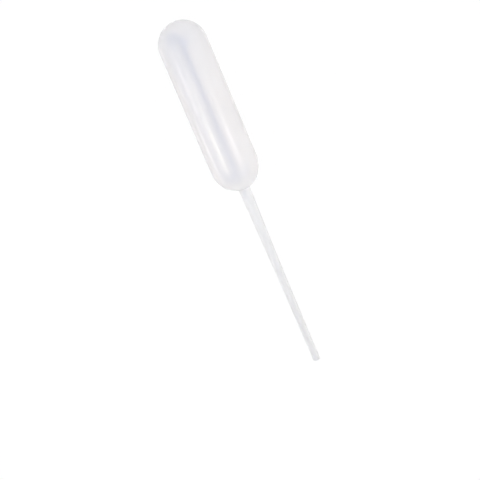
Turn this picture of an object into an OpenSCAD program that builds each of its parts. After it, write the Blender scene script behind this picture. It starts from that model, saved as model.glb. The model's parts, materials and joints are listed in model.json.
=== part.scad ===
// Squeeze dropper pipette, blow moulded in one piece: a capsule bulb with a thin tapering stem.
// The long axis lies along X, closed end towards -X and open tip towards +X.
// The barrel and one of its two seams rest on the plane z = 0.

/* [Bulb] */
// Outside diameter of the bulb's straight barrel
bulb_d = 11.8; // [9:0.1:16]
// Length of the bulb, from its closed end to the end of its shoulder
bulb_len = 43.6; // [30:0.2:70]
// Thickness of the wall, in the bulb and at the neck
wall = 0.45; // [0.3:0.05:0.7]
// How much less than the barrel's radius the shoulder's round nose has
nose_inset = 0.3; // [0.1:0.1:1]
// How much more than the barrel's radius the curve that leads it into the shoulder has
flank_extra = 2.1; // [0.5:0.1:6]

/* [Stem] */
// Length of the stem, from the end of the shoulder to the tip
stem_len = 48.4; // [36:0.2:110]
// Outside diameter of the stem at the neck
neck_d = 2.8; // [2.2:0.1:4.5]
// Radius of the fillet between the shoulder and the neck
neck_fillet = 0.7; // [0.3:0.1:2]
// Distance from the end of the shoulder to the knee, where the quick taper turns into a slow one
knee_at = 22; // [6:0.5:26]
// Outside diameter of the stem at the knee
knee_d = 2.04; // [1.7:0.02:3.4]
// Bore of the stem at the knee
knee_bore = 1.2; // [0.8:0.02:1.4]
// Outside diameter of the tip
tip_d = 1.78; // [1.4:0.02:3]
// Bore of the tip
tip_bore = 1.0; // [0.6:0.05:1.2]
// Length of the tip's straight stretch
tip_len = 8.4; // [2:0.2:9.6]

/* [Mould marks] */
// Height of the seam that the mould's parting line leaves along both sides
seam_h = 0.1; // [0.04:0.01:0.2]
// Width of the seam
seam_w = 0.3; // [0.1:0.05:0.6]
// Length of the weld across the closed end, where the tube was pinched off
pinch_len = 4.2; // [2:0.2:8]
// Width of the weld
pinch_w = 0.6; // [0.3:0.05:1]
// Height of the weld above the closed end
pinch_h = 0.2; // [0.12:0.02:0.5]

/* [Hidden] */
$fn = 96;
natural_plastic = [0.92, 0.93, 0.96, 0.55];
bulb_r = bulb_d / 2;
overall_len = pinch_h + bulb_len + stem_len;
// The shoulder is two arcs: a long one off the barrel, then the round nose, tangent to each other
nose_r = bulb_r - nose_inset;
flank_r = bulb_r + flank_extra;
arc_gap = flank_r - nose_r;
flank_rise = sqrt(arc_gap * arc_gap - flank_extra * flank_extra);
nose_y = bulb_len - nose_r;
flank_y = nose_y - flank_rise;
// Centre of the neck's fillet, tangent to the nose and to the stem
neck_r = neck_d / 2;
fillet_x = neck_r + neck_fillet;
fillet_y = nose_y + sqrt((nose_r + neck_fillet) * (nose_r + neck_fillet) - fillet_x * fillet_x);
knee_y = bulb_len + knee_at;
tip_y = bulb_len + stem_len - tip_len;
end_y = bulb_len + stem_len;
// Past the tip's face, so that the bore opens through it
overcut = 1;
// The part rests with an edge of the lower seam on the floor, beside the barrel's own line of contact
seam_r = bulb_r + seam_h;
seam_edge_r = sqrt(seam_r * seam_r + seam_w * seam_w / 4);
seam_roll = acos(bulb_r / seam_edge_r) + atan(seam_w / 2 / seam_r);

// Half of a lengthways section of the bulb, with its neck; grow moves the outline outwards
module bulb_section(grow) {
    intersection() {
        union() {
            translate([0, bulb_r]) circle(r = bulb_r + grow);
            translate([0, nose_y]) circle(r = nose_r + grow);
        }
        translate([0, -bulb_r]) square([2 * bulb_r, bulb_len + 2 * bulb_r]);
    }
    translate([0, bulb_r]) square([bulb_r + grow, flank_y - bulb_r]);
    intersection() {
        translate([-flank_extra, flank_y]) circle(r = flank_r + grow);
        translate([0, flank_y])
            square([2 * bulb_r, flank_rise + (nose_r + grow) * flank_rise / arc_gap]);
    }
    difference() {
        polygon([[0, nose_y], [fillet_x, fillet_y], [0, fillet_y]]);
        translate([fillet_x, fillet_y]) circle(r = neck_fillet - grow);
    }
}

// Half of a lengthways section of the stem: a quick taper, a slow taper and the straight tip
module stem_section(neck, knee, tip, end) {
    polygon([
        [0, fillet_y],
        [neck, fillet_y],
        [knee, knee_y],
        [tip, tip_y],
        [tip, end],
        [0, end]
    ]);
}

module outside() {
    bulb_section(0);
    stem_section(neck_r, knee_d / 2, tip_d / 2, end_y);
}

module hollow() {
    bulb_section(-wall);
    stem_section(neck_r - wall, knee_bore / 2, tip_bore / 2, end_y + overcut);
}

// One side of the parting line, from the closed end to the start of the straight tip
module seam_outline() {
    bulb_section(seam_h);
    stem_section(neck_r + seam_h, knee_d / 2 + seam_h, tip_d / 2 + seam_h, tip_y);
}

// A thin fin in the parting plane; the wall and the hollow leave only its outer edge
module seam() {
    rotate([90, 0, 0])
        linear_extrude(height = seam_w, center = true) {
            seam_outline();
            mirror([1, 0]) seam_outline();
        }
}

// The short weld that closes the end of the bulb, along the parting plane
module pinch() {
    intersection() {
        translate([0, 0, bulb_r]) sphere(r = bulb_r + pinch_h);
        translate([-pinch_len / 2, -pinch_w / 2, -pinch_h])
            cube([pinch_len, pinch_w, bulb_r]);
    }
}

module pipette() {
    color(natural_plastic)
        translate([pinch_h - overall_len / 2, 0, bulb_r])
            rotate([seam_roll, 0, 0])
                rotate([0, 90, 0])
                    difference() {
                        union() {
                            rotate_extrude() outside();
                            seam();
                            pinch();
                        }
                        rotate_extrude() hollow();
                    }
}

pipette();
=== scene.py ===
import json
import math

import bpy
from mathutils import Matrix, Vector, noise


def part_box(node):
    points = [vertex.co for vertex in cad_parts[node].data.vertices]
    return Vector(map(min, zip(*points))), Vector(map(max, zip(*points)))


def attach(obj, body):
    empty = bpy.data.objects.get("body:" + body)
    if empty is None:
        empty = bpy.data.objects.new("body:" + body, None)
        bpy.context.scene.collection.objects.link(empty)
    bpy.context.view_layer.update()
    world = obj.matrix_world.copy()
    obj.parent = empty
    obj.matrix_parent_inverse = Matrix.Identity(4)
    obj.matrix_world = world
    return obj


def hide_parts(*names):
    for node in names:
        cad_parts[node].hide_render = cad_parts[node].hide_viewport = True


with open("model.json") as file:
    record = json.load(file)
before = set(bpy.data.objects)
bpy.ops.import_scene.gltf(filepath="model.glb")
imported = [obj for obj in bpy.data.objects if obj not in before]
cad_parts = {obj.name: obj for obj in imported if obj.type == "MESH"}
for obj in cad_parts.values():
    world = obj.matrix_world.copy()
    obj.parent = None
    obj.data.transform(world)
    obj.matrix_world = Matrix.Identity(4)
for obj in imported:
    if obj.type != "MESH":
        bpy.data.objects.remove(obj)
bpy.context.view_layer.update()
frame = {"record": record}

# ---- Moulded skin ----
# The bulb, its shoulder, the stem and the tip are one piece of soft, milky low-density polyethylene.
# A hot tube is closed between two mould halves and blown out against them, so the outside follows
# the mould, and the inside keeps a nearly even wall that thins towards the tip.
mm = 0.001
mounts = {mount["name"]: mount for mount in frame["record"]["mounts"]}
barrel = mounts["bulb_barrel"]
tip = mounts["tip_outside"]
axis_z = barrel["pos_m"][2]
bulb_r = barrel["dims"]["r_mm"] * mm
tip_r = tip["dims"]["r_mm"] * mm
bore_r = mounts["tip_bore"]["dims"]["r_mm"] * mm
cap_x = barrel["pos_m"][0] - barrel["dims"]["length_mm"] / 2 * mm
flank_x = barrel["pos_m"][0] + barrel["dims"]["length_mm"] / 2 * mm
tip_x = tip["pos_m"][0] - tip["dims"]["length_mm"] / 2 * mm
end_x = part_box("pipette")[1].x

wall = 0.45 * mm
nose_inset = 0.3 * mm
flank_extra = 2.1 * mm
nose_r = bulb_r - nose_inset
flank_r = bulb_r + flank_extra
flank_rise = math.sqrt((flank_r - nose_r) ** 2 - flank_extra**2)
nose_x = flank_x + flank_rise
lean_in = math.atan2(flank_rise, flank_extra)
neck_r = 1.4 * mm
neck_fillet = 0.7 * mm
fillet_r = neck_r + neck_fillet
fillet_x = nose_x + math.sqrt((nose_r + neck_fillet) ** 2 - fillet_r**2)
tuck = math.atan2(fillet_x - nose_x, fillet_r)
upper_stem = 22 * mm
knee_x = nose_x + nose_r + upper_stem
knee_r = 1.02 * mm
knee_bore_r = 0.6 * mm
rim_round = 0.06 * mm
parting_roll = math.radians(12)
close_rows_end = math.radians(-64.8)
seam_strip = math.radians(5.6)
side_columns = 60
seam_columns = 8
merge_gap = 0.002 * mm


def arc(x, r, radius, start, end, steps):
    """Points of an arc of the section about (x, r). An angle of 0 points away from the axis."""
    angles = [start + (end - start) * i / steps for i in range(steps + 1)]
    return [(x + radius * math.sin(a), r + radius * math.cos(a)) for a in angles]


def straight(start, end, steps):
    """Points of a straight stretch of the section, without its first."""
    return [tuple(a + (b - a) * i / steps for a, b in zip(start, end)) for i in range(1, steps + 1)]


def skin(grow, cap_steps, knee, tip_radius):
    """One side of the wall, from the closed end's middle, where the rows are close, to the tip's face."""
    points = arc(cap_x, 0, bulb_r + grow, -math.pi / 2, close_rows_end, steps=cap_steps)
    points += arc(cap_x, 0, bulb_r + grow, close_rows_end, 0, steps=26)[1:]
    points += straight(points[-1], (flank_x, bulb_r + grow), steps=30)
    points += arc(flank_x, -flank_extra, flank_r + grow, 0, lean_in, steps=14)[1:]
    points += arc(nose_x, 0, nose_r + grow, lean_in, tuck, steps=22)[1:]
    points += arc(fillet_x, fillet_r, neck_fillet - grow, tuck + math.pi, math.pi, steps=10)[1:]
    points += straight(points[-1], (knee_x, knee), steps=18)
    points += straight(points[-1], (tip_x, tip_radius), steps=14)
    points += straight(points[-1], (end_x - rim_round, tip_radius), steps=8)
    return points


def place(point):
    """A point of the section, in the plane where the two mould halves part."""
    x, r = point
    return Vector((x, -r * math.sin(parting_roll), axis_z + r * math.cos(parting_roll)))


outside = skin(grow=0, cap_steps=20, knee=knee_r, tip_radius=tip_r)
inside = skin(grow=-wall, cap_steps=10, knee=knee_bore_r, tip_radius=bore_r)
rim = [(end_x, tip_r - rim_round), (end_x, bore_r + rim_round)]
section = outside + rim + inside[::-1]

bpy.ops.object.select_all(action="DESELECT")
bpy.ops.mesh.primitive_plane_add(size=mm, location=place(section[0]))
pipette = bpy.context.object
pipette.name = "squeeze_pipette"
bpy.ops.object.transform_apply(location=True, rotation=True, scale=True)
bpy.ops.object.mode_set(mode="EDIT")
bpy.ops.mesh.merge(type="CENTER")
for start, end in zip(section, section[1:]):
    bpy.ops.mesh.extrude_region_move(TRANSFORM_OT_translate={"value": place(end) - place(start)})

# The section is spun in five strokes, with close columns along both seams and wide ones between.
bpy.ops.mesh.select_all(action="SELECT")
side = math.pi - seam_strip
for angle, steps in (
    (seam_strip / 2, seam_columns // 2),
    (side, side_columns),
    (seam_strip, seam_columns),
    (side, side_columns),
    (seam_strip / 2, seam_columns // 2),
):
    bpy.ops.mesh.spin(steps=steps, angle=angle, center=(0, 0, axis_z), axis=(1, 0, 0))
bpy.ops.mesh.select_all(action="SELECT")
bpy.ops.mesh.remove_doubles(threshold=merge_gap)
bpy.ops.mesh.normals_make_consistent(inside=False)
bpy.ops.object.mode_set(mode="OBJECT")

# ---- Mould marks and wall ----
# The closed mould leaves a fine seam along both sides and over the closed end, up to the ground
# tip. Across the closed end lies the short weld where the mould pinched the tube off. The air
# that blows the wall out leaves its inside slightly uneven, drawn out along the tube.
seam_h = 0.008 * mm
seam_half_w = 0.25 * mm
seam_end_x = tip_x - 0.5 * mm
mark_fade = 1 * mm
weld_h = 0.06 * mm
weld_half_l = 2.1 * mm
weld_half_w = 0.3 * mm
weld_side_blur = 0.2 * mm
weld_end_blur = 0.4 * mm
weld_end_x = cap_x - 0.8 * bulb_r
wall_swing = 0.02 * mm
wave_width = 2.2 * mm
wave_stretch = 0.12
wave_full_r = 4 * mm
smooth_angle = math.radians(40)


def fall_off(value, edge, blur):
    """1 well below the edge, 0 well above it, with a smooth slope blur wide between."""
    t = min(max((edge - value) / blur + 0.5, 0), 1)
    return t * t * (3 - 2 * t)


def is_outside(vertex):
    """Whether a point is on the outer side of the wall."""
    outward = Vector((min(vertex.co.x - cap_x, 0), vertex.co.y, vertex.co.z - axis_z))
    return vertex.normal.dot(outward) > 0


def mould_mark(vertex):
    """The height of the seam and the weld at a point, as a share of the weld's height."""
    on_cut_end = vertex.normal.x > 0.999
    if on_cut_end or not is_outside(vertex):
        return 0
    y, z = vertex.co.y, vertex.co.z - axis_z
    across = abs(y * math.cos(parting_roll) + z * math.sin(parting_roll))
    along = abs(z * math.cos(parting_roll) - y * math.sin(parting_roll))
    seam = max(0, 1 - (across / seam_half_w) ** 2) ** 2
    seam *= fall_off(vertex.co.x, seam_end_x, mark_fade)
    weld = fall_off(across, weld_half_w, weld_side_blur) * fall_off(along, weld_half_l, weld_end_blur)
    weld *= fall_off(vertex.co.x, weld_end_x, mark_fade)
    return max(seam * seam_h / weld_h, weld)


def wall_wave(vertex):
    """How far the wall swings in at a point of the inside, from 0 to 1."""
    if is_outside(vertex):
        return 0
    drawn = Vector((vertex.co.x * wave_stretch, vertex.co.y, vertex.co.z)) / wave_width
    narrow = min(1, math.hypot(vertex.co.y, vertex.co.z - axis_z) / wave_full_r)
    return narrow * (0.5 + 0.5 * noise.noise(drawn))


def raise_skin(name, height, weigh):
    """Moves the skin along its normals by height, times the weight of each point."""
    group = pipette.vertex_groups.new(name=name)
    for vertex in pipette.data.vertices:
        weight = weigh(vertex)
        if weight > 0:
            group.add([vertex.index], weight, "REPLACE")
    swell = pipette.modifiers.new(name, "DISPLACE")
    swell.direction = "NORMAL"
    swell.vertex_group = name
    swell.mid_level = 0
    swell.strength = height
    bpy.ops.object.modifier_apply(modifier=name)
    pipette.vertex_groups.remove(pipette.vertex_groups[name])


raise_skin("mould_marks", weld_h, mould_mark)
raise_skin("wall_waves", wall_swing, wall_wave)
bpy.ops.object.shade_smooth_by_angle(angle=smooth_angle)

# ---- Natural plastic ----
# Undyed polyethylene: milky and satin, nearly colourless in the thin blown bulb and greyer in the
# drawn stem. It has fine lines drawn out along the tube, a faint haze and the mould's fine grain.
# The closed end's tone is greyer partly from its thicker plastic and partly as painted shade for the dim
# reflection over the closed end.
cap_grey_and_painted_shade = (0.967, 0.958, 0.96, 1)
bulb_tone = (1.0, 0.984, 0.975, 1)
haze_tone = (0.985, 0.98, 0.98, 1)
neck_tone = (1.0, 0.993, 0.983, 1)
tip_tone = (0.957, 0.949, 0.94, 1)
# Painted shade: this grey darkens the last few tenths of a millimetre of the tip to stand in for its dark
# opening.
cut_painted_shade = (0.86, 0.86, 0.86, 1)
line_scale = 1400
haze_scale = 160
grain_scale = 3500
line_depth = 0.001 * mm
grain_depth = 0.0005 * mm
bulb_gloss = 0.5
stem_gloss = 0.12
stem_extra_rough = 0.15


def set_inputs(tree, node, **inputs):
    """Sets inputs of a node to values, or links them to outputs. i0 is its first input, i1 the next."""
    for name, value in inputs.items():
        numbered = name[0] == "i" and name[1:].isdigit()
        socket = node.inputs[int(name[1:]) if numbered else name.replace("_", " ")]
        if isinstance(value, bpy.types.NodeSocket):
            tree.links.new(value, socket)
        else:
            socket.default_value = value


def add_node(tree, kind, settings=None, **inputs):
    """A new node of a kind, with its settings and its inputs."""
    node = tree.nodes.new("ShaderNode" + kind)
    for name, value in (settings or {}).items():
        setattr(node, name, value)
    set_inputs(tree, node, **inputs)
    return node


def combine(tree, operation, *values):
    """The output of a Math node, or of a row of them, over two or more values."""
    total = values[0]
    for value in values[1:]:
        total = add_node(tree, "Math", {"operation": operation}, i0=total, i1=value).outputs[0]
    return total


def ramp(tree, value, start, end, low=0.0, high=1.0):
    """A smooth rise from low to high, as the value goes from start to end."""
    rise = add_node(
        tree, "MapRange", {"interpolation_type": "SMOOTHSTEP"},
        Value=value, From_Min=start, From_Max=end, To_Min=low, To_Max=high,
    )
    return rise.outputs[0]


def blend(tree, share, first, second):
    """A colour between two colours."""
    return add_node(tree, "Mix", {"data_type": "RGBA"}, i0=share, i6=first, i7=second).outputs[2]


plastic = bpy.data.materials.new("natural_plastic")
plastic.use_nodes = True
tree = plastic.node_tree
place_on = add_node(tree, "TexCoord").outputs["Object"]
along_x = add_node(tree, "SeparateXYZ", Vector=place_on).outputs["X"]
drawn = add_node(tree, "Mapping", Vector=place_on, Scale=(0.03, 1, 1)).outputs[0]
lines = add_node(tree, "TexNoise", Vector=drawn, Scale=line_scale, Detail=3).outputs["Fac"]
haze = add_node(tree, "TexNoise", Vector=place_on, Scale=haze_scale, Detail=2).outputs["Fac"]
grain = add_node(tree, "TexNoise", Vector=place_on, Scale=grain_scale, Detail=2).outputs["Fac"]

cloud = combine(tree, "MULTIPLY", combine(tree, "ADD", lines, haze), 0.5)
to_bulb = ramp(tree, along_x, cap_x - bulb_r, cap_x + 1.8 * bulb_r)
to_haze = ramp(tree, cloud, 0.4, 0.7, low=0, high=0.3)
to_neck = ramp(tree, along_x, nose_x, fillet_x + 4 * mm)
to_tip = ramp(tree, along_x, fillet_x, tip_x)
to_painted_cut_shade = ramp(tree, along_x, end_x - 0.35 * mm, end_x - 0.1 * mm)
# The closed end is blended in greyer: partly the thicker plastic's own tone, partly painted shade for the
# dim reflection over it.
tone = blend(tree, to_bulb, cap_grey_and_painted_shade, bulb_tone)
tone = blend(tree, to_haze, tone, haze_tone)
tone = blend(tree, to_neck, tone, neck_tone)
tone = blend(tree, to_tip, tone, tip_tone)
# The tube's end is painted darker here, as painted shade for the dark opening at the tip.
tone = blend(tree, to_painted_cut_shade, tone, cut_painted_shade)

line_rough = ramp(tree, lines, 0.3, 0.7, low=0.285, high=0.315)
drawn_rough = ramp(tree, along_x, nose_x, fillet_x + 8 * mm, low=0, high=stem_extra_rough)
rough = combine(tree, "ADD", line_rough, drawn_rough)
bump = add_node(tree, "Bump", Height=lines, Distance=line_depth, Strength=1).outputs[0]
bump = add_node(tree, "Bump", Height=grain, Distance=grain_depth, Strength=1, Normal=bump).outputs[0]
gloss = ramp(tree, along_x, fillet_x, fillet_x + 3 * mm, low=bulb_gloss, high=stem_gloss)
set_inputs(
    tree, tree.nodes["Principled BSDF"],
    Base_Color=tone, Roughness=rough, Normal=bump, IOR=1.51, Transmission_Weight=0.72,
    Sheen_Weight=0.3, Sheen_Roughness=0.3, Coat_Weight=gloss, Coat_Roughness=0.16, Coat_IOR=2.3,
)
pipette.data.materials.append(plastic)

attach(pipette, "root")
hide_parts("pipette")

# ---- White table ----
# The pipette lies on a plain white top. The top shows its own white where it is seen, straight or
# through the plastic, and keeps a faint shadow under the bulb.
table_width = 6
table_tone = (0.95, 0.95, 0.95, 1)
seen_white = (1, 1, 1, 1)
own_white = 0.94


def any_ray(tree, *kinds):
    """1 for a ray of any of these kinds, and 0 for every other ray."""
    ray = add_node(tree, "LightPath").outputs
    return combine(tree, "MAXIMUM", *[ray["Is " + kind + " Ray"] for kind in kinds])


bpy.ops.mesh.primitive_plane_add(size=table_width, location=(0, 0, 0))
table = bpy.context.object
table.name = "white_table"
white = bpy.data.materials.new("white_table")
white.use_nodes = True
tree = white.node_tree
cover = tree.nodes["Principled BSDF"]
set_inputs(tree, cover, Base_Color=table_tone, Roughness=1, Specular_IOR_Level=0)
glow = add_node(tree, "Emission", Color=seen_white, Strength=1.01)
seen = any_ray(tree, "Camera", "Glossy", "Transmission")
share = combine(tree, "MULTIPLY", seen, own_white)
both = add_node(tree, "MixShader", i0=share, i1=cover.outputs[0], i2=glow.outputs[0])
set_inputs(tree, tree.nodes["Material Output"], Surface=both.outputs[0])
table.data.materials.append(white)

# ---- Studio light ----
# A white tent stands over the table. Its openings are dim and bluish, and show only mirrored in the
# plastic or through it. Two soft boxes and two narrow strips hang out past the tip, one box on each
# side and both strips on the left, and draw the long light streaks on the bulb.
tent_white = (1, 1, 1, 1)
opening_blue = (0.02, 0.17, 0.52, 1)
warm_white = (1, 0.95, 0.87)
warmer_white = (1, 0.95, 0.68)
lamp_distance = 0.7

world = bpy.data.worlds.new("studio")
bpy.context.scene.world = world
world.use_nodes = True
tree = world.node_tree
way = add_node(tree, "TexCoord").outputs["Generated"]

# Each opening has a heading from +X and a tilt off the vertical, two angles off its middle, where it
# is wholly dim and where it ends, and how dim it is. All the angles are in degrees.
dimmed = []
for heading, tilt, core, edge, depth in (
    (10, 9, 4, 16, 0.95),
    (150, 20, 10, 28, 1),
    (195, 42, 8, 26, 0.85),
    (217, 62, 10, 42, 0.75),
    (288, 38, 12, 32, 0.5),
    (283, 86, 6, 26, 0.4),
    (310, 62, 8, 28, 0.75),
    (350, 40, 8, 33, 0.7),
    (45, 60, 8, 24, 0.35),
):
    a, b = math.radians(heading), math.radians(tilt)
    middle = (math.cos(a) * math.sin(b), math.sin(a) * math.sin(b), math.cos(b))
    near = add_node(tree, "VectorMath", {"operation": "DOT_PRODUCT"}, i0=way, i1=middle).outputs[1]
    inner, outer = math.cos(math.radians(core)), math.cos(math.radians(edge))
    dimmed.append(ramp(tree, near, outer, inner, low=0, high=depth))
mirrored = any_ray(tree, "Glossy", "Transmission")
open_gap = combine(tree, "MULTIPLY", combine(tree, "MAXIMUM", *dimmed), mirrored)
tint = blend(tree, open_gap, tent_white, opening_blue)
set_inputs(tree, tree.nodes["Background"], Color=tint, Strength=1.04)


def soft_box(name, tilt, start, end, width, glow, color=warm_white):
    """A soft box along X from start to end, tilt degrees off the vertical towards +Y."""
    lamp = bpy.data.lights.new(name, "AREA")
    lamp.shape = "RECTANGLE"
    lamp.size, lamp.size_y = end - start, width
    lamp.energy = glow * math.pi * lamp.size * lamp.size_y
    lamp.color = color
    box = bpy.data.objects.new(name, lamp)
    bpy.context.scene.collection.objects.link(box)
    a = math.radians(tilt)
    sideways = lamp_distance * math.sin(a)
    box.location = ((start + end) / 2, sideways, axis_z + lamp_distance * math.cos(a))
    box.rotation_euler = (-a, 0, 0)


soft_box("left_box", tilt=-36.5, start=0.142, end=0.166, width=0.31, glow=5.6, color=warmer_white)
soft_box("right_box", tilt=43.5, start=0.142, end=0.166, width=0.2, glow=3.3)
soft_box("left_strip", tilt=-60, start=0.088, end=0.113, width=0.028, glow=20)
soft_box("low_strip", tilt=-88, start=0.149, end=0.165, width=0.08, glow=11.5)

# ---- Camera ----
# It looks down on the table from over the closed end, which points to the top of the picture and a
# little to the left. Light crosses the bulb's two walls over and over, so it may bounce many times.
up_heading = math.radians(157.8)
lean = math.radians(18.9)
camera_distance = 0.342
bounces = 48
aim = Vector((9.5 * mm, -5.9 * mm, axis_z))
up_on_table = Vector((math.cos(up_heading), math.sin(up_heading), 0))
back = up_on_table * math.sin(lean) + Vector((0, 0, math.cos(lean)))
right = (-back).cross(up_on_table).normalized()
up = back.cross(right)

camera_data = bpy.data.cameras.new("camera")
camera_data.sensor_width = 36
camera_data.lens = 105
camera_data.clip_start = 0.01
camera = bpy.data.objects.new("camera", camera_data)
bpy.context.scene.collection.objects.link(camera)
camera.rotation_mode = "QUATERNION"
camera.rotation_quaternion = Matrix((right, up, back)).transposed().to_quaternion()
camera.location = aim + back * camera_distance
bpy.context.scene.camera = camera

cycles = bpy.context.scene.cycles
cycles.blur_glossy = 0
for kind in ("max", "diffuse", "glossy", "transmission"):
    setattr(cycles, kind + "_bounces", bounces)
bpy.context.scene.view_settings.view_transform = "Standard"
